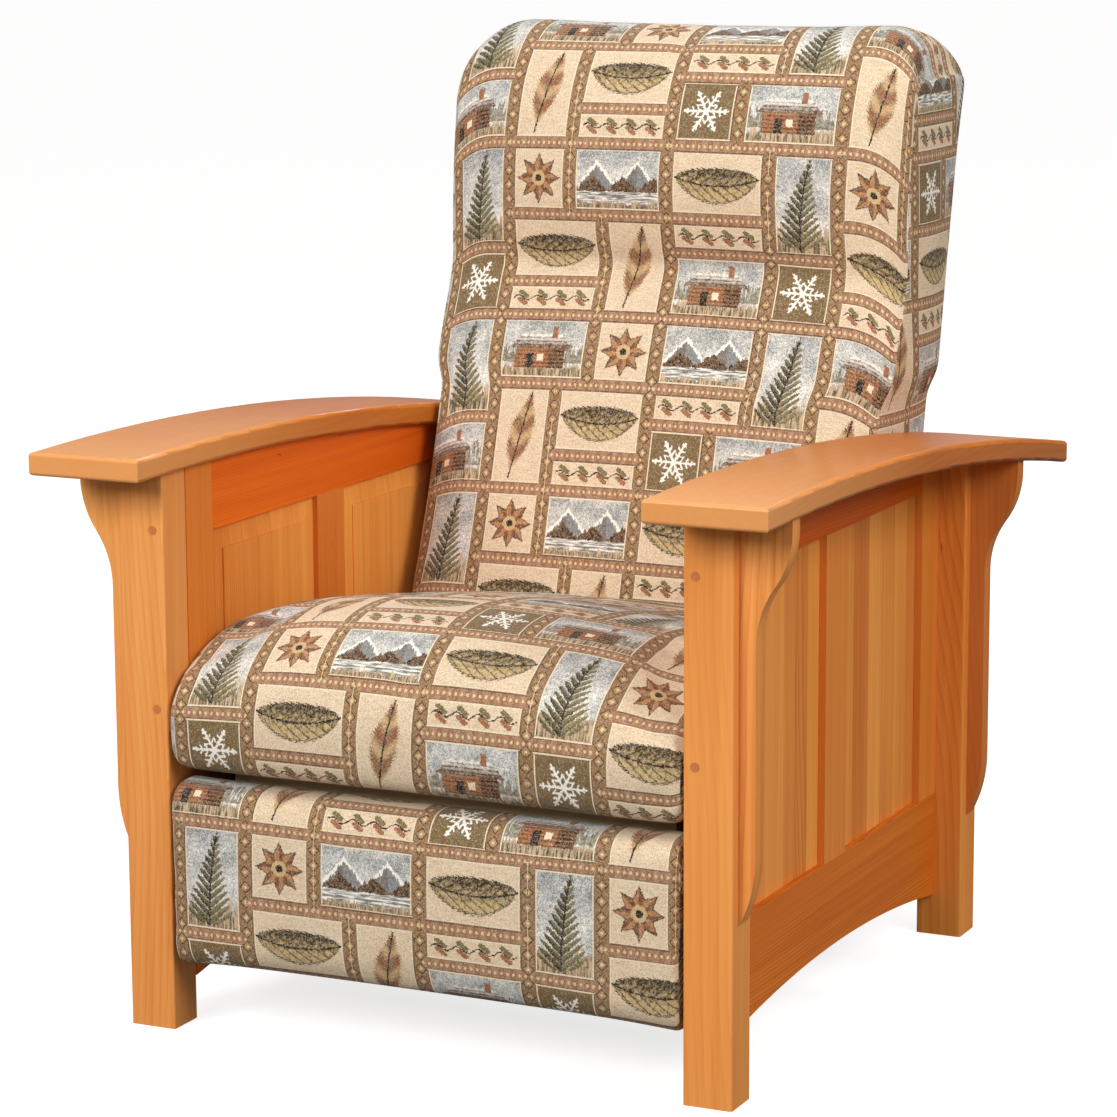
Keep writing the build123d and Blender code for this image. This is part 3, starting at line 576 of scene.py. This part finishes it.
    # Feather: barbs in bands of rust, brown and cream on a dark quill
    plume = kinds["feather"]
    lean_x = x - y * 0.2
    vane = (y + 0.039).more(0.0)
    vane_half = ((vane * 18.0).less(1.0)) * ((y * -1.0 + 0.049) * 0.42).more(0.0) + 0.0005
    vane_half = vane_half.less(0.0185)
    barb = (y + abs(lean_x) * -0.9).repeat(0.0038)
    band = ((y - abs(lean_x) * 0.9) * 210.0).math("SINE") * 0.5 + 0.5
    feather = (abs(lean_x) < (vane_half + (barb - 0.5) * 0.004)) * (vane > 0.0001) * plume
    feather_tone = (band * 0.9 + (blur - 0.5) * 0.9 + (barb < 0.25) * 0.25).clipped()
    colour = tinted(feather, colour, tinted(feather_tone, linear(206, 168, 120), linear(104, 68, 40)))
    colour = tinted(feather * (band > 0.85) * 0.8, colour, cloth_rust)
    quill = (abs(lean_x) < 0.0009) * (abs(y) < 0.049) * plume
    colour = tinted(quill, colour, cloth_dark)

    # Leaf: one broad leaf laid lengthways, dark above and pale below its rib, on cream
    blade = kinds["blade"]
    arc = y - (x * x) * 3.6 + 0.003
    length_share = x * (1 / 0.049)
    blade_half = ((length_share * length_share).flipped().more(0.0)).math("POWER", 0.7) * 0.02
    serration = (abs(arc) + x * 0.5).repeat(0.0046) * 0.0026
    leaf = (abs(arc) < (blade_half - serration)) * blade
    vein = (abs((abs(arc) - x * 0.75).repeat(0.0098) - 0.5) < 0.1) * leaf
    leaf_body = (arc * 34.0 + (blur - 0.5) * 2.6 + 0.45).clipped()
    colour = tinted(leaf, colour, tinted(leaf_body, linear(202, 174, 122), linear(70, 54, 26)))
    leaf_edge = (abs(abs(arc) - blade_half + serration) < 0.0011) * (abs(x) < 0.047) * blade
    colour = tinted(leaf_edge * 0.8, colour, cloth_dark)
    colour = tinted(vein * 0.75, colour, cloth_dark)
    rib_line = (abs(arc) < 0.001) * (abs(x) < 0.053) * blade
    colour = tinted(rib_line, colour, cloth_dark)

    # Star and crystal: eight folded points, and six feathered arms
    star_size = 0.0275
    radius = (x * x + y * y).math("SQRT")
    angle = y.math("ARCTAN2", x)
    fold = angle.math("FLOORED_MODULO", math.pi / 4) - math.pi / 8
    tip = abs(fold).flipped() + (math.pi / 8 - 1)
    star_edge = radius * (tip.math("COSINE") + tip.math("SINE") * 2.1)
    star = (star_edge < star_size) * kinds["star"]
    colour = tinted(star, colour, tinted((fold > 0.0) * 0.7 + (blur - 0.5) * 1.4 + 0.1, linear(188, 132, 84),
                                         linear(96, 62, 36)))
    colour = tinted((abs(star_edge - star_size) < 0.0013) * kinds["star"] * 0.85, colour, cloth_dark)
    colour = tinted((radius < 0.0085) * kinds["star"], colour, linear(206, 172, 122))
    colour = tinted((radius < 0.004) * kinds["star"], colour, cloth_dark)
    sixth = abs((angle + math.pi / 6).math("FLOORED_MODULO", math.pi / 3) - math.pi / 6)
    reach = radius * sixth.math("COSINE")
    aside = radius * sixth.math("SINE")
    twigs = ((reach - aside * 0.6).repeat(0.0066) < 0.34) * (aside < ((reach * -0.42) + 0.0125))
    arms = ((aside < 0.0014) + twigs) * (reach < 0.0265)
    colour = tinted(arms.less(1.0) * kinds["crystal"], colour, cloth_white)

    # Vine strip: a waving stem with a leaf in each bend
    strip = kinds["vine"]
    pod_pitch = 0.0242
    stem_y = y - (x * 260.0).math("SINE") * 0.0028
    vine = (abs(stem_y) < 0.0009) * (edge_x > 0.012)
    pod_x = (x.repeat(pod_pitch) - 0.5) * pod_pitch
    pod_y = abs(stem_y) - 0.0044
    pod = (((pod_x * pod_x) * 20000.0 + (pod_y * pod_y) * 90000.0) < 1.0) * (edge_x > 0.012)
    colour = tinted(pod * strip, colour, tinted(stem_y > 0.0, cloth_rust, cloth_olive))
    colour = tinted(vine * strip, colour, cloth_dark)

    # Border strips: dotted strips lie across the cloth, lozenge strips run up it
    dot_pitch = 0.0067
    lozenge_pitch = 0.0160
    lozenge_edge = 0.0062
    level = edge_y < edge_x
    strip_half = (level * -0.0014) + 0.0078
    border = edge < strip_half
    run = (level * column) + (level.flipped() * row)
    dot_run = (run.repeat(dot_pitch) - 0.5) * dot_pitch
    dots = ((dot_run * dot_run) + (edge * edge * 0.7)).math("SQRT") < 0.0016
    dotted = tinted((run.repeat(2 * dot_pitch) < 0.5) * 0.5 + (blur - 0.5) * 0.5, linear(154, 108, 78),
                    linear(184, 146, 110))
    dotted = tinted(dots, dotted, linear(220, 192, 146))
    lozenge = abs(run.repeat(lozenge_pitch) - 0.5) * lozenge_pitch + edge
    laced = tinted((lozenge < lozenge_edge) * 0.6 + (blur - 0.5) * 0.6, linear(150, 112, 74),
                   linear(188, 154, 110))
    laced = tinted(abs(lozenge - lozenge_edge) < 0.0009, laced, linear(84, 58, 36))
    laced = tinted(lozenge < 0.0024, laced, linear(224, 194, 140))
    colour = tinted(border, colour, tinted(level, laced, dotted))
    colour = tinted((abs(edge - strip_half) < 0.0006) * 0.8, colour, linear(86, 56, 36))
    colour = tinted(abs(edge - strip_half - 0.0014) < 0.0007, colour, linear(232, 214, 180))

    # Weave: every crossing is one thread, a little light or dark, and ribs lie across the cloth
    colour = tinted((heather > 0.8) * 0.2, colour, cloth_white)
    colour = tinted((heather < 0.22) * 0.2, colour, cloth_dark)
    tree.links.new(colour, shader.inputs["Base Color"])
    shader.inputs["Roughness"].default_value = 0.9
    shader.inputs["Specular IOR Level"].default_value = 0.25
    shader.inputs["Sheen Weight"].default_value = 0.08
    shader.inputs["Sheen Roughness"].default_value = 0.5
    ribs = (weft * (2 * math.pi / cloth_rib)).math("SINE") * 0.5
    ends = (warp * (2 * math.pi / cloth_thread)).math("SINE") * 0.3
    relief(tree, shader, ribs + ends + heather * 0.5, 0.00025, 0.6)
    return made


cloth = tapestry("tapestry")


def setback(value):
    """Depth of a point given in millimetres behind the front legs' front faces, in metres."""
    return (value - 374.0) / 1000


def curve_through(points, count):
    """So many points, evenly spaced, on a smooth open curve through the given ones, less its end."""
    data = bpy.data.curves.new("guide", "CURVE")
    data.dimensions = "3D"
    spline = data.splines.new("BEZIER")
    spline.bezier_points.add(len(points) - 1)
    for knot, point in zip(spline.bezier_points, points):
        knot.co = (0, *point)
        knot.handle_left_type = "AUTO"
        knot.handle_right_type = "AUTO"
    data.resolution_u = 24
    guide = bpy.data.objects.new("guide", data)
    trail = [vertex.co.yz for vertex in guide.to_mesh().vertices]
    guide.to_mesh_clear()
    bpy.data.objects.remove(guide)
    bpy.data.curves.remove(data)
    lengths = [0.0]
    for before, after in zip(trail, trail[1:]):
        lengths.append(lengths[-1] + (after - before).length)
    found = []
    at = 0
    for step in range(count):
        wanted = lengths[-1] * step / count
        while lengths[at + 1] < wanted:
            at += 1
        share = (wanted - lengths[at]) / (lengths[at + 1] - lengths[at])
        found.append(trail[at].lerp(trail[at + 1], share))
    return found


def outline_through(runs, counts):
    """A closed outline of smooth runs given in millimetres, with so many points on each run."""
    found = []
    for run, count in zip(runs, counts):
        found += curve_through([(setback(y), z / 1000) for y, z in run], count)
    return found


def rings_across(half_width, spacing, end_round, seam=0.0):
    """Rings across a cushion as (x, how far the outline is drawn in), rounded at both ends.

    With a seam, each end is nipped in by so much where the boxing is sewn on.
    """
    flat = half_width - end_round
    count = round(2 * flat / spacing)
    across = [(-flat + 2 * flat * step / count, 0.0) for step in range(count + 1)]
    turns = [math.radians(turn) for turn in (25, 50, 75 if seam else 90)]
    close = [(flat + end_round * math.sin(turn), end_round * (1 - math.cos(turn))) for turn in turns]
    if seam:
        close += [(half_width - seam, end_round), (half_width, end_round + seam),
                  (half_width, end_round + 0.01)]
    return [(-x, inset) for x, inset in reversed(close)] + across + close


def boxing_layout(x, y, z):
    """The boxing's cloth lies upright, its repeat set off from the front's."""
    return ((1 if x > 0 else -1) * y + 0.13, z + 0.21)


def stuffed_case(name, outline_at, rings, spine, sewn, rungs=12):
    """A closed cushion: outlines at rings across it, each end closed by rungs between front and back.

    outline_at(x) gives an even count of (y, z) points; spine is a segment inside every outline, which
    they are drawn in towards. A sewn case has a seam on the third ring from each end.
    """
    first, last = Vector(spine[0]), Vector(spine[1])

    def drawn_in(x, inset):
        ring = []
        for point in outline_at(x):
            share = (point - first).dot(last - first) / (last - first).length_squared
            pull = first.lerp(last, min(max(share, 0), 1)) - point
            ring.append(point + pull * min(1, inset / pull.length))
        return ring

    outlines = [drawn_in(x, inset) for x, inset in rings]
    size = len(outlines[0])
    half = size // 2
    points = [(x, *point) for (x, _), ring in zip(rings, outlines) for point in ring]
    faces = []
    for row in range(len(rings) - 1):
        for column in range(size):
            after = (column + 1) % size
            faces.append((row * size + column, (row + 1) * size + column,
                          (row + 1) * size + after, row * size + after))
    for row in (0, len(rings) - 1):
        ladder = [[row * size] * (rungs + 1)]
        for column in range(1, half):
            low, high = Vector(points[row * size + column]), Vector(points[row * size + size - column])
            rung = [row * size + column]
            for step in range(1, rungs):
                points.append(tuple(low.lerp(high, step / rungs)))
                rung.append(len(points) - 1)
            ladder.append(rung + [row * size + size - column])
        ladder.append([row * size + half] * (rungs + 1))
        for lower, upper in zip(ladder, ladder[1:]):
            for step in range(rungs):
                corners = (lower[step], lower[step + 1], upper[step + 1], upper[step])
                corners = tuple(dict.fromkeys(corners if row else reversed(corners)))
                faces.append(corners)
    made = mesh_piece(name, points, faces)

    middle = len(rings) // 2
    walk = [0.0]
    for column in range(size):
        walk.append(walk[-1] + (outlines[middle][(column + 1) % size] - outlines[middle][column]).length)
    reach = [[0.0] * size for _ in rings]
    for direction in (1, -1):
        row = middle + direction
        while 0 <= row < len(rings):
            for column in range(size):
                here = Vector(points[row * size + column])
                before = Vector(points[(row - direction) * size + column])
                reach[row][column] = reach[row - direction][column] + direction * (here - before).length
            row += direction
    chart = made.data.uv_layers.new(name="cloth")
    seam_ring = 2
    seam_row = seam_ring if sewn else 0
    for polygon in made.data.polygons:
        places = [divmod(index, size) for index in polygon.vertices]
        wraps = any(column == size - 1 for row, column in places)
        beyond = any(row < seam_row or row > len(rings) - 1 - seam_row for row, column in places)
        for corner, (row, column) in zip(polygon.loop_indices, places):
            if beyond:
                chart.data[corner].uv = boxing_layout(*points[row * size + column])
            else:
                round_it = walk[size] if wraps and column == 0 else walk[column]
                chart.data[corner].uv = (reach[row][column], round_it)
    held = made.vertex_groups.new(name="sewn")
    for row in (seam_ring, len(rings) - 1 - seam_ring):
        held.add([row * size + column for column in range(size)], 1.0 if sewn else 0.0, "REPLACE")
    return made


def held_within(value, limit):
    """A value held from minus the limit to the limit."""
    return min(max(value, -limit), limit)


def stuff(piece, pressure, allowance, limit):
    """Fills a cover: it is blown up as cloth between its seams, and no point moves past the allowance.

    limit(place) clamps a place to the room that the cushion has.
    """
    last_frame = 20
    rest = [vertex.co.copy() for vertex in piece.data.vertices]
    bpy.context.view_layer.objects.active = piece
    filling = piece.modifiers.new("filling", "CLOTH")
    settings = filling.settings
    settings.use_pressure = True
    settings.uniform_pressure_force = pressure
    settings.effector_weights.gravity = 0
    settings.quality = 5
    settings.mass = 0.35
    settings.tension_stiffness = 30
    settings.compression_stiffness = 30
    settings.shear_stiffness = 15
    settings.bending_stiffness = 1.5
    settings.vertex_group_mass = "sewn"
    filling.point_cache.frame_start = 1
    filling.point_cache.frame_end = last_frame
    for step in range(1, last_frame + 1):
        bpy.context.scene.frame_set(step)
    settled = piece.evaluated_get(bpy.context.evaluated_depsgraph_get())
    places = [vertex.co.copy() for vertex in settled.data.vertices]
    piece.modifiers.remove(filling)
    bpy.context.scene.frame_set(1)
    for vertex, start, end in zip(piece.data.vertices, rest, places):
        move = end - start
        vertex.co = start + move * min(1, allowance / max(move.length, 1e-9))
    for vertex in piece.data.vertices:
        vertex.co = limit(vertex.co)
    piece.vertex_groups.clear()


def subdivided(piece, levels):
    """Adds a subdivision surface and applies it, so that the mesh is final."""
    smooth = piece.modifiers.new("smooth", "SUBSURF")
    smooth.levels = levels
    smooth.render_levels = levels
    smooth.uv_smooth = "PRESERVE_BOUNDARIES"
    finished = bpy.data.meshes.new_from_object(piece.evaluated_get(bpy.context.evaluated_depsgraph_get()))
    piece.modifiers.clear()
    piece.data = finished
    finished.shade_smooth()


# Widths are in metres, and places on a side profile in millimetres
cloth_spacing = 0.0105
stuffing_pressure = 4.0
stuffing_rise = 0.006
cushion_half = 0.2862
opening_half = 0.2870
webbing_top = 277.0
seat_crown_half = 0.2845
seam_nip = 0.0022


def seat_outline(x):
    """The seat cushion's side profile at x, from the front of its underside round to it again."""
    out = (x / seat_crown_half)**2
    drop = 30.0 * out
    nose = -13.0 + 5.0 * out
    front_run = [(nose + 24.0, webbing_top), (nose + 8.0, webbing_top + 7.0),
                 (nose + 2.5, webbing_top + 22.0), (nose, 322.0), (nose + 2.0, 352.0 - drop * 0.3),
                 (nose + 16.0, 386.0 - drop * 0.7),
                 (36.0, 414.0 - drop), (74.0, 432.0 - drop), (118.0, 440.0 - drop), (205.0, 436.0 - drop),
                 (275.0, 425.0 - drop * 0.9), (346.0, 411.0 - drop * 0.8), (420.0, 398.0 - drop * 0.7),
                 (476.0, 389.0 - 18.0 * out)]
    rear_run = [front_run[-1], (483.0, 372.0 - 12.0 * out), (476.0, 330.0), (462.0, 292.0),
                (448.0, webbing_top)]
    under_run = [rear_run[-1], (300.0, webbing_top), (150.0, webbing_top), front_run[0]]
    return outline_through((front_run, rear_run, under_run), (68, 14, 54))


seat_rings = rings_across(cushion_half, cloth_spacing, 0.009, seam_nip)
seat_spine = ((setback(60), 0.330), (setback(420), 0.330))
seat_piece = stuffed_case("seat_cushion_cover", seat_outline, seat_rings, seat_spine, True)


def seat_room(place):
    """The seat's room: flat on the webbing, between the side frames."""
    return Vector((held_within(place.x, opening_half), place.y, max(place.z, webbing_top / 1000)))


stuff(seat_piece, stuffing_pressure, stuffing_rise, seat_room)
subdivided(seat_piece, 1)
seat_piece.data.materials.append(cloth)
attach(seat_piece, "seat")
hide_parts("seat_cushion")


# Back cushion: a headrest pillow over a fuller lumbar, in the same tapestry, with side
# boxing sewn on by a plain seam. It is pulled over the back's plywood frame.
back_half = 0.2785
back_corner = 0.057
back_corner_start = 0.2215
back_shoulder = 952
back_swell_half = 0.2845
back_half_between_arms = 0.2734
back_half_gained = 0.0111
arms_top = 0.6
arms_cleared = 0.035


def back_outline(x):
    """The back cushion's side profile at x, from its front foot up, over the top and down behind."""
    share = min(1.0, abs(x) / back_half)
    crown = 13.0 * (1 - share * share)
    foot = (469.0, 306.0)
    front_run = [foot, (488.0, 370.0), (516.0 - crown * 0.6, 440.0), (545.0 - crown, 524.0),
                 (572.0 - crown, 610.0), (600.0 - crown * 0.8, 686.0), (616.0 - crown * 0.6, 724.0),
                 (622.0 - crown * 0.35, 745.0), (621.5 - crown * 0.8, 762.0), (622.0 - crown * 1.3, 786.0),
                 (626.0 - crown * 2.0, 838.0), (634.0 - crown * 1.6, 896.0), (645.0 - crown, 940.0),
                 (664.0, 982.0), (690.0, 1003.0), (722.0, 1010.0), (760.0, 1008.0), (795.0, 997.0),
                 (814.0, 968.0)]
    rear_run = [front_run[-1], (780.0, 806.0), (727.0, 556.0), (674.0, 306.0)]
    under_run = [rear_run[-1], (600.0, 306.0), (530.0, 306.0), foot]
    narrow = min(1.0, max(0.0, (abs(x) - back_corner_start) / back_corner))
    fall = math.sqrt(1 - narrow**2)
    runs = [[(y, z if z < back_shoulder else back_shoulder + (z - back_shoulder) * fall) for y, z in run]
            for run in (front_run, rear_run, under_run)]
    return outline_through(runs, (82, 62, 20))


back_rings = rings_across(back_half, cloth_spacing, 0.010, 0.0015)
back_spine = ((setback(600), 0.36), (setback(715), 0.88))
back_piece = stuffed_case("back_cushion_cover", back_outline, back_rings, back_spine, True)


def back_room(place):
    """The back's room: between the arms below, and a little wider above them."""
    above = min(1.0, max(0.0, (place.z - arms_top) / arms_cleared))
    room = back_half_between_arms + back_half_gained * above * above * (3 - 2 * above)
    return Vector((held_within(place.x, back_swell_half) * room / back_swell_half, place.y, place.z))


stuff(back_piece, stuffing_pressure, stuffing_rise, back_room)
subdivided(back_piece, 1)
back_piece.data.materials.append(cloth)
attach(back_piece, "back")
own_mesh(back_piece)
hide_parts("back_cushion")


# Outside back: one flat panel of the tapestry, stretched over card and drawn down tight on
# the back's frame, so that it closes the cover behind.
outside_half = 0.2494


def behind(rise, proud):
    """A point on the back's rear plane, so far up it and standing so proud of it, in millimetres."""
    return (675.2 + 0.2080 * rise + 0.9782 * proud, 311.9 + 0.9782 * rise - 0.2080 * proud)


def outside_outline(x):
    """The outside back's side profile: flat against the frame, a little crowned behind."""
    swell = 1.5 * (1 - (x / outside_half)**2)
    inner_run = [behind(3, -3), behind(310, -3), behind(616, -3)]
    outer_run = [inner_run[-1], behind(618.7, -0.5), behind(616, 1.8), behind(580, 2.5 + swell * 0.6),
                 behind(310, 2.5 + swell), behind(40, 2.5 + swell * 0.6), behind(3, 1.8), behind(0, -0.5),
                 inner_run[0]]
    return outline_through((inner_run, outer_run), (40, 56))


outside_rings = rings_across(outside_half, 0.02, 0.002)
outside_spine = [[setback(y), z / 1000] for y, z in (behind(30, -0.5), behind(590, -0.5))]
outside_piece = stuffed_case("outside_back", outside_outline, outside_rings, outside_spine, False, 4)
for corner in outside_piece.data.uv_layers["cloth"].data:
    corner.uv = (-corner.uv.x, -corner.uv.y)
outside_piece.vertex_groups.clear()
subdivided(outside_piece, 1)
outside_piece.data.materials.append(cloth)
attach(outside_piece, "back")
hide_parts("back_panel")


# Footrest pad: a thin foam pad under the same cloth, tight over rounded edges, its ends
# turned square round the plywood board.
pad_crown_half = 0.2865
pad_rise = 0.004
pad_back = 46.0


def pad_outline(x):
    """The footrest pad's side profile at x."""
    crown = 5.0 * (1 - (x / pad_crown_half)**2 / 2)
    face = -1.5
    front_run = [(pad_back, 70.0), (34.0, 70.0), (20.0, 70.0), (6.0, 73.0), (face, 85.0),
                 (face - crown * 0.8, 120.0), (face - crown, 168.0), (face - crown * 0.8, 216.0),
                 (face, 249.0), (6.0, 261.0), (20.0, 266.0), (34.0, 266.0), (pad_back, 266.0)]
    rear_run = [front_run[-1], (pad_back, 200.0), (pad_back, 130.0), front_run[0]]
    return outline_through((front_run, rear_run), (30, 30))


pad_rings = rings_across(cushion_half, cloth_spacing, 0.006)
pad_spine = ((setback(26), 0.10), (setback(26), 0.236))
pad_piece = stuffed_case("footrest_cover", pad_outline, pad_rings, pad_spine, False, 4)


def pad_room(place):
    """The pad's room: flat against the board, between the legs."""
    return Vector((held_within(place.x, opening_half), min(place.y, setback(pad_back)), place.z))


stuff(pad_piece, stuffing_pressure, pad_rise, pad_room)
subdivided(pad_piece, 1)
pad_piece.data.materials.append(cloth)
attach(pad_piece, "footrest")
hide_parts("footrest_pad")
